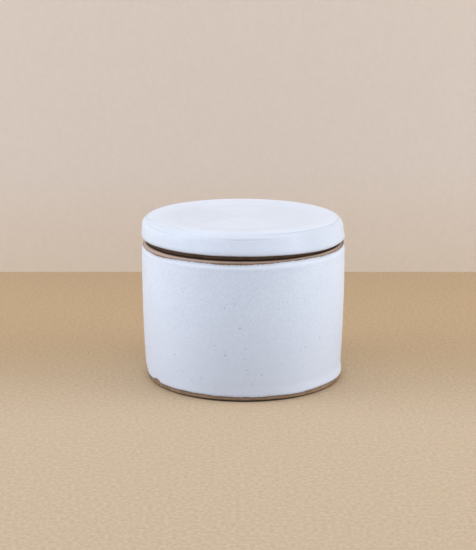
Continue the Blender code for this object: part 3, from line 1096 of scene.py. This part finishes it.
def make_lid():
    """The lid's clay and the coat on its top and side."""
    line = lid_line()
    # The lid's clay is a shaded copy of the clay: painted shade
    clay = clay_material("lid_stoneware_painted_shade", SHADED_CLAY_COLOUR)
    fitted(clay_piece("lid_clay", line, grit, leaning), "lid", "bare_stoneware", clay, "lid")
    centre = (LID_RADIUS - LIP_REACH, LIP_START)
    tip = oval(centre, LIP_REACH, LIP_TURN, -LID_GLAZE_ANGLE, -LID_GLAZE_ANGLE, 1)[0]
    front = azimuth_bell(ANGLES, 0.0, LIP_GLAZE_FRONT_WIDTH)
    lowered = LIP_GLAZE_TILT * np.sin(ANGLES) + LIP_GLAZE_DROP * (1.0 - front)
    lowered = lowered + azimuth_bells(ANGLES, LIP_GLAZE_DIPS)
    edge = along(line, *tip) + wander(ANGLES, *LIP_WANDER) + lowered
    shoulder = along(line, CREST_RADIUS + LID_FINE_INSET, LID_TOP)
    fine = [(shoulder, shoulder + LID_FINE_REACH)]
    coat = coat_piece("lid_coat", line, 1, None, edge, lid_relief, end_width=LID_EDGE_WIDTH,
                      fine=fine, lines=lid_painted_shade, stance=leaning)
    # The lid's glaze is a lighter copy of the glaze: painted light
    glaze = glaze_material("lid_glaze_painted_light", LID_PAINTED_LIGHTNESS, LID_SPECKLING)
    fitted(coat, "lid", "white_glaze", glaze, "lid_glaze")


def make_cup():
    """The cup's clay, and the coat over the cup and the hollow of the lid."""
    clay = clay_material("cup_stoneware", CLAY_COLOUR)
    fitted(clay_piece("cup_clay", cup_line(), grit), "lid", "bare_stoneware", clay, "butter_cup")
    line = underside_line()
    edge = lengths(line)[-1] - UNDERSIDE_GLAZE_DROP + wander(ANGLES, *UNDERSIDE_WANDER)
    coat = coat_piece("underside_coat", line, -1, None, edge, throwing)
    fitted(coat, "lid", "white_glaze", glaze_material("cup_glaze"), "underside_glaze")


def stage_sheet(name, corners, colours, axis, span, grain_size, contrast, one_sided):
    """A flat sheet of the stage, which throws neutral light on the object.

    Its colour goes from the first to the second over a span of an axis, with a paper grain whose
    lumps are grain_size across. A one-sided sheet is clear from behind, so it hides no view.
    """
    mesh = bpy.data.meshes.new(name)
    mesh.from_pydata([tuple(c * MM for c in corner) for corner in corners], [], [(0, 1, 2, 3)])
    made, tree, shader = new_material(name)
    place = node(tree, "ShaderNodeTexCoord").outputs["Object"]
    paper = noise(tree, place, 1.0 / (grain_size * MM), PAPER_DETAIL, PAPER_ROUGHNESS)
    fibre = mapped(tree, paper, *MOST_OF_NOISE, 1.0 - contrast, 1.0 + contrast)
    along_axis = node(tree, "ShaderNodeSeparateXYZ", {0: place}).outputs[axis]
    colour = mixed(tree, spanned(tree, along_axis, span), *[shade(end) for end in colours])
    inputs = {0: colour, "Scale": fibre}
    tint = node(tree, "ShaderNodeVectorMath", inputs, operation="SCALE").outputs[0]
    path = node(tree, "ShaderNodeLightPath")
    seen = reckoned(tree, "MAXIMUM", path.outputs["Is Camera Ray"], path.outputs["Is Glossy Ray"])
    tree.links.new(mixed(tree, seen, shade(BOUNCE_COLOUR), tint), shader.inputs["Base Color"])
    shader.inputs["Roughness"].default_value = SHEET_ROUGHNESS
    if one_sided:
        behind = node(tree, "ShaderNodeNewGeometry").outputs["Backfacing"]
        clear = node(tree, "ShaderNodeBsdfTransparent").outputs[0]
        both = node(tree, "ShaderNodeMixShader", {0: behind, 1: shader.outputs[0], 2: clear})
        tree.links.new(both.outputs[0], tree.nodes["Material Output"].inputs["Surface"])
    mesh.materials.append(made)
    sheet = bpy.data.objects.new(name, mesh)
    bpy.context.scene.collection.objects.link(sheet)


def make_stage():
    """A pale table and a pale wall behind it."""
    wide = SHEET_REACH
    back = WALL_DISTANCE
    floor = [(-wide, -wide, 0.0), (wide, -wide, 0.0), (wide, wide, 0.0), (-wide, wide, 0.0)]
    stage_sheet("table_sheet", floor, (FLOOR_COLOUR, FAR_FLOOR_COLOUR), Y, FLOOR_FADE,
                FLOOR_GRAIN, FLOOR_CONTRAST, one_sided=False)
    wall = [(-wide, back, 0.0), (wide, back, 0.0), (wide, back, WALL_TOP), (-wide, back, WALL_TOP)]
    stage_sheet("wall_sheet", wall, (LOW_BACKDROP_COLOUR, BACKDROP_COLOUR), Z, WALL_FADE,
                WALL_GRAIN, WALL_CONTRAST, one_sided=True)


def lamp(name, place, size, power, colour):
    """A soft lamp that faces the pot, and leaves no glare of its own in the glaze."""
    data = bpy.data.lights.new(name, "AREA")
    data.shape = "RECTANGLE"
    data.size = size[0] * MM
    data.size_y = size[1] * MM
    data.energy = power
    data.color = colour
    made = bpy.data.objects.new(name, data)
    bpy.context.scene.collection.objects.link(made)
    made.visible_glossy = False
    made.location = [c * MM for c in place]
    aim = np.array(LAMP_TARGET, float) - np.array(place, float)
    pitch = math.atan2(math.hypot(aim[X], aim[Y]), -aim[Z])
    made.rotation_euler = (pitch, 0.0, math.atan2(-aim[X], aim[Y]))


def make_light():
    """Soft lamps on both sides and above, and an even world."""
    for row in LAMPS:
        lamp(*row)
    world = bpy.data.worlds.new("studio")
    bpy.context.scene.world = world
    world.use_nodes = True
    back = world.node_tree.nodes["Background"]
    back.inputs["Color"].default_value = shade(WORLD_COLOUR)
    back.inputs["Strength"].default_value = WORLD_STRENGTH


def make_camera():
    """The camera at the photograph's place."""
    data = bpy.data.cameras.new("camera")
    data.lens = CAMERA_LENS
    made = bpy.data.objects.new("camera", data)
    made.location = [c * MM for c in CAMERA_PLACE]
    made.rotation_euler = (math.radians(90.0 - CAMERA_TILT), 0.0, 0.0)
    bpy.context.scene.collection.objects.link(made)
    bpy.context.scene.camera = made


make_camera()
make_crock()
make_lid()
make_cup()
make_stage()
make_light()
bpy.context.scene.view_settings.view_transform = "Standard"
